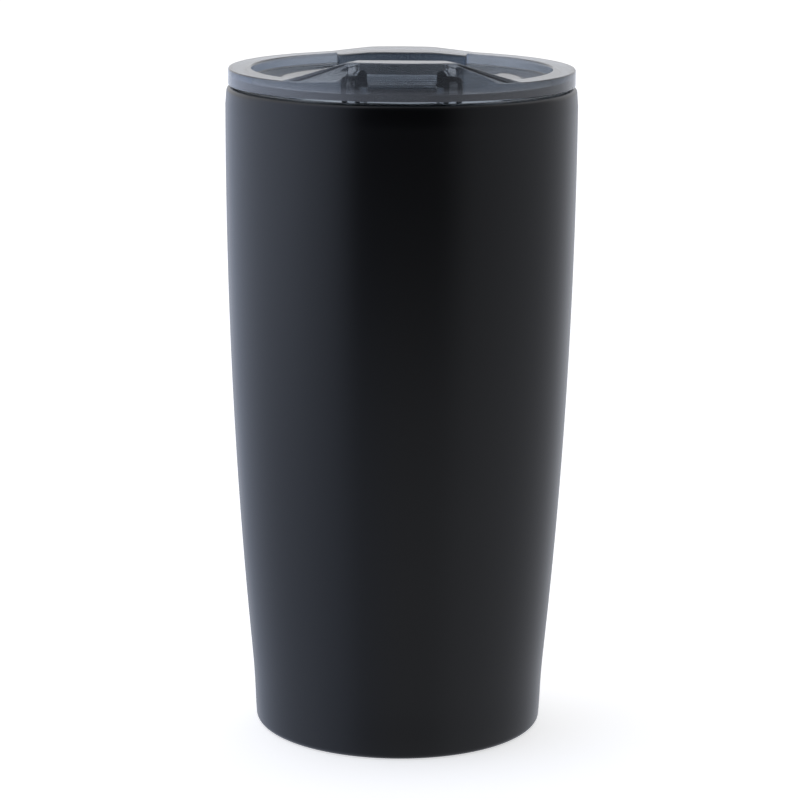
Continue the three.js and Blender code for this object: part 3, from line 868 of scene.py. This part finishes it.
def studio_world(scene):
    """A white studio with a dark gap in front, where the camera stands, and less light on the right. Low
    down, the tabletop evens the light out. What the camera sees directly is plain white."""
    world = bpy.data.worlds.new("studio")
    scene.world = world
    world.use_nodes = True
    tree = world.node_tree
    tree.nodes.clear()
    direction = add_node(tree, "ShaderNodeTexCoord").outputs["Generated"]
    split = add_node(tree, "ShaderNodeSeparateXYZ", None, {"Vector": direction})
    front = add_node(
        tree, "ShaderNodeMath", {"operation": "MULTIPLY", 1: -1.0}, {0: split.outputs["Y"]},
    )
    turn = add_node(
        tree, "ShaderNodeMath", {"operation": "ARCTAN2"},
        {0: split.outputs["X"], 1: front.outputs["Value"]},
    )
    share = add_node(
        tree, "ShaderNodeMapRange", {"From Min": -math.pi, "From Max": math.pi},
        {"Value": turn.outputs["Value"]},
    )
    around = add_node(tree, "ShaderNodeFloatCurve", None, {"Value": share.outputs["Result"]})
    curve = around.mapping.curves[0]
    around.mapping.clip_max_y = 2.0
    for degrees, level in HORIZON[1:-1]:
        curve.points.new(degrees / 360 + 0.5, level)
    curve.points[0].location = (0.0, HORIZON[0][1])
    curve.points[len(HORIZON) - 1].location = (1.0, HORIZON[-1][1])
    for point in curve.points:
        point.handle_type = "VECTOR"
    around.mapping.update()
    table = add_node(
        tree, "ShaderNodeMapRange", {"To Min": 0.41, "To Max": 0.72}, {"Value": around.outputs["Value"]},
    )
    low = add_node(
        tree, "ShaderNodeMapRange",
        {"interpolation_type": "SMOOTHSTEP", "From Min": -0.17, "From Max": -0.34},
        {"Value": split.outputs["Z"]},
    )
    sides = add_node(
        tree, "ShaderNodeMix", {"data_type": "FLOAT"},
        {0: low.outputs["Result"], 2: around.outputs["Value"], 3: table.outputs["Result"]},
    )
    up = add_node(
        tree, "ShaderNodeMapRange", {"From Min": 0.25, "From Max": 0.65}, {"Value": split.outputs["Z"]},
    )
    past = add_node(
        tree, "ShaderNodeMapRange", {"From Min": -0.25, "From Max": 0.3, "To Min": 0.06},
        {"Value": split.outputs["Y"]},
    )
    overhead = add_node(
        tree, "ShaderNodeMath", {"operation": "MULTIPLY"},
        {0: up.outputs["Result"], 1: past.outputs["Result"]},
    )
    behind = add_node(
        tree, "ShaderNodeMapRange", {"From Min": 0.1, "From Max": 0.6, "To Max": 0.80},
        {"Value": split.outputs["Y"]},
    )
    above = add_node(
        tree, "ShaderNodeMapRange", {"From Min": -0.04, "From Max": 0.04}, {"Value": split.outputs["Z"]},
    )
    backdrop = add_node(
        tree, "ShaderNodeMath", {"operation": "MULTIPLY"},
        {0: behind.outputs["Result"], 1: above.outputs["Result"]},
    )
    high = add_node(
        tree, "ShaderNodeMath", {"operation": "MAXIMUM"},
        {0: backdrop.outputs["Value"], 1: overhead.outputs["Value"]},
    )
    dome = add_node(
        tree, "ShaderNodeMath", {"operation": "MAXIMUM"}, {0: sides.outputs[0], 1: high.outputs["Value"]},
    )
    leftward = add_node(
        tree, "ShaderNodeMapRange", {"From Min": 0.0, "From Max": -0.6, "To Min": 0.25},
        {"Value": split.outputs["X"]},
    )
    neutral = add_node(
        tree, "ShaderNodeMath", {"operation": "SUBTRACT", "use_clamp": True},
        {0: leftward.outputs["Result"], 1: high.outputs["Value"]},
    )
    tint = add_node(
        tree, "ShaderNodeMix", {"data_type": "RGBA", 6: (0.98, 0.99, 1.03, 1.0), 7: (0.86, 0.96, 1.20, 1.0)},
        {0: neutral.outputs["Value"]},
    )
    lit = add_node(
        tree, "ShaderNodeBackground", None, {"Color": tint.outputs[2], "Strength": dome.outputs["Value"]},
    )
    plain = add_node(tree, "ShaderNodeBackground", {"Color": (1.0, 1.0, 1.0, 1.0), "Strength": 1.1})
    seen = add_node(tree, "ShaderNodeLightPath")
    mix = add_node(
        tree, "ShaderNodeMixShader", None,
        {0: seen.outputs["Is Camera Ray"], 1: lit.outputs["Background"], 2: plain.outputs["Background"]},
    )
    output = add_node(tree, "ShaderNodeOutputWorld")
    tree.links.new(mix.outputs["Shader"], output.inputs["Surface"])


class MUG_OT_stage(bpy.types.Operator):
    """Makes the floor, the light and the camera"""

    bl_idname = "mug.stage"
    bl_label = "Stage"

    def execute(self, context):
        scene, colours = context.scene, context.scene.mug_colours
        material, output = new_material("matt_paper_sweep")
        tree = material.node_tree
        place = add_node(tree, "ShaderNodeTexCoord").outputs["Object"]
        fibre = add_node(
            tree, "ShaderNodeTexNoise", {"Scale": 1 / (2 * MM), "Detail": 2.0}, {"Vector": place},
        )
        bump = add_node(
            tree, "ShaderNodeBump", {"Strength": 0.02, "Distance": 0.1 * MM},
            {"Height": fibre.outputs["Fac"]},
        )
        bright = add_node(
            tree, "ShaderNodeBsdfDiffuse", {"Color": colours.floor}, {"Normal": bump.outputs["Normal"]},
        )
        glow = add_node(tree, "ShaderNodeEmission", {"Color": (1.0, 1.0, 1.0, 1.0), "Strength": 0.62})
        paper = add_node(
            tree, "ShaderNodeAddShader", None,
            {0: bright.outputs["BSDF"], 1: glow.outputs["Emission"]},
        )
        # only the camera sees the paper: the light that comes up from below is the studio's
        clear = add_node(tree, "ShaderNodeBsdfTransparent", {"Color": (1.0, 1.0, 1.0, 1.0)})
        seen = add_node(tree, "ShaderNodeLightPath")
        mix = add_node(
            tree, "ShaderNodeMixShader", None,
            {0: seen.outputs["Is Camera Ray"], 1: clear.outputs["BSDF"], 2: paper.outputs["Shader"]},
        )
        tree.links.new(mix.outputs["Shader"], output.inputs["Surface"])
        radius = np.linspace(0, 1.6, 24)
        sheet = np.stack([radius, np.zeros_like(radius)], axis=1)
        floor = grid_object("paper_sweep", revolve(sheet, 96), closed_profile=False)
        floor.data.materials.append(material)
        if floor.data.polygons[0].normal.z < 0:
            floor.data.flip_normals()
        studio_world(scene)
        camera = bpy.data.objects.new("camera", bpy.data.cameras.new("camera"))
        scene.collection.objects.link(camera)
        camera.data.sensor_width = CAMERA_SENSOR
        camera.data.lens = CAMERA_LENS
        camera.data.clip_start, camera.data.clip_end = 0.05, 20.0
        camera.location = (CAMERA_SIDE, -CAMERA_DISTANCE, CAMERA_HEIGHT)
        aim = Matrix.Rotation(math.radians(90 - CAMERA_PITCH), 3, "X")
        camera.rotation_euler = (aim @ Matrix.Rotation(math.radians(CAMERA_ROLL), 3, "Z")).to_euler()
        scene.camera = camera
        scene.view_settings.view_transform = "Standard"
        return {"FINISHED"}


# ---------------------------------------------------------------- the add-on

class MUG_PT_panel(bpy.types.Panel):
    """Lists the pieces of the mug"""

    bl_idname = "MUG_PT_panel"
    bl_label = "Insulated Travel Mug"
    bl_space_type = "VIEW_3D"
    bl_region_type = "UI"
    bl_category = "Mug"

    def draw(self, context):
        for operator in PIECES:
            self.layout.operator(operator.bl_idname)
        for group in (context.scene.mug_sizes, context.scene.mug_colours):
            box = self.layout.box()
            for name in group.__annotations__:
                box.prop(group, name)


PIECES = (
    MUG_OT_outer_shell, MUG_OT_liner, MUG_OT_base, MUG_OT_hidden_parts, MUG_OT_lid_body, MUG_OT_gasket,
    MUG_OT_track, MUG_OT_slide, MUG_OT_slide_seal, MUG_OT_stage,
)
CLASSES = (MugSizes, MugColours, *PIECES, MUG_PT_panel)


def register():
    """Adds the classes and the scene's properties."""
    for cls in CLASSES:
        bpy.utils.register_class(cls)
    bpy.types.Scene.mug_sizes = PointerProperty(type=MugSizes)
    bpy.types.Scene.mug_colours = PointerProperty(type=MugColours)


def unregister():
    """Removes what register added."""
    del bpy.types.Scene.mug_colours
    del bpy.types.Scene.mug_sizes
    for cls in reversed(CLASSES):
        bpy.utils.unregister_class(cls)


def main():
    """Builds every piece in order."""
    register()
    for operator in PIECES:
        group, name = operator.bl_idname.split(".")
        getattr(getattr(bpy.ops, group), name)()


if __name__ == "__main__":
    main()
